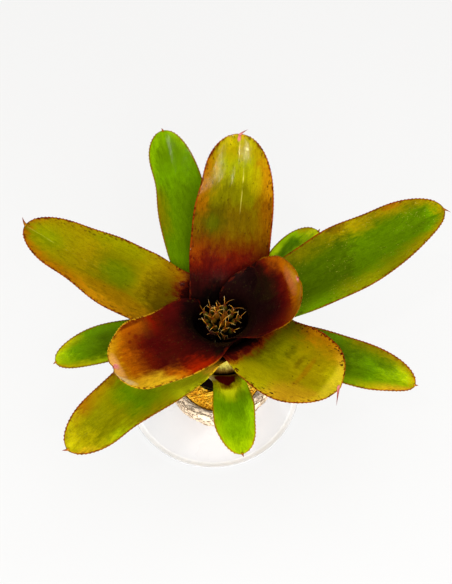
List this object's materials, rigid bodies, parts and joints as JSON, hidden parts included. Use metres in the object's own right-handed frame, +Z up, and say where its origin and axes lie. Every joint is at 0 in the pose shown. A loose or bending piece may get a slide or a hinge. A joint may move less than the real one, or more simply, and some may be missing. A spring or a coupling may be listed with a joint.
{
  "type": "neoregelia bromeliad in its pot",
  "caption": "Potted neoregelia bromeliad: a flat rosette of spine-tipped strap leaves round a sunken flower head, in a nursery pot packed into a rough bowl on a saucer.",
  "frame": {"origin": "on the saucer's flat underside, straight below the stem", "axes": "+Z up along the stem, +X towards the longest leaf's side, +Y towards the tallest leaf, away from the viewer"},
  "size_m": [0.397, 0.3256, 0.2707],
  "materials": {
    "flushed_leaf": "waxy leaf, maroon at the cup running through orange to olive yellow",
    "green_leaf": "waxy leaf, olive to lime green with red-brown margins",
    "stem": "dull, ringed by old leaf bases",
    "flower_head": "olive buds with dry gold sepals",
    "nursery_pot": "thin black moulded plastic",
    "potting_mix": "dark bark and peat crumbs",
    "outer_pot": "rough whitewashed bark with dark splits",
    "coir": "golden matted fibre",
    "saucer": "plain white glaze"
  },
  "bodies": {
    "root": {"leaf_inner_right": "flushed_leaf", "leaf_left_front": "flushed_leaf", "leaf_back": "flushed_leaf", "leaf_front_right": "flushed_leaf", "leaf_left_back": "green_leaf", "leaf_right": "green_leaf", "leaf_front_left": "green_leaf", "leaf_back_left": "green_leaf", "leaf_right_back": "green_leaf", "leaf_right_low": "green_leaf", "leaf_left_low": "green_leaf", "leaf_front": "green_leaf", "stem": "stem", "flower_head": "flower_head", "nursery_pot": "nursery_pot", "potting_mix": "potting_mix", "outer_pot": "outer_pot", "coir_packing": "coir", "saucer": "saucer"}
  },
  "joints": []
}
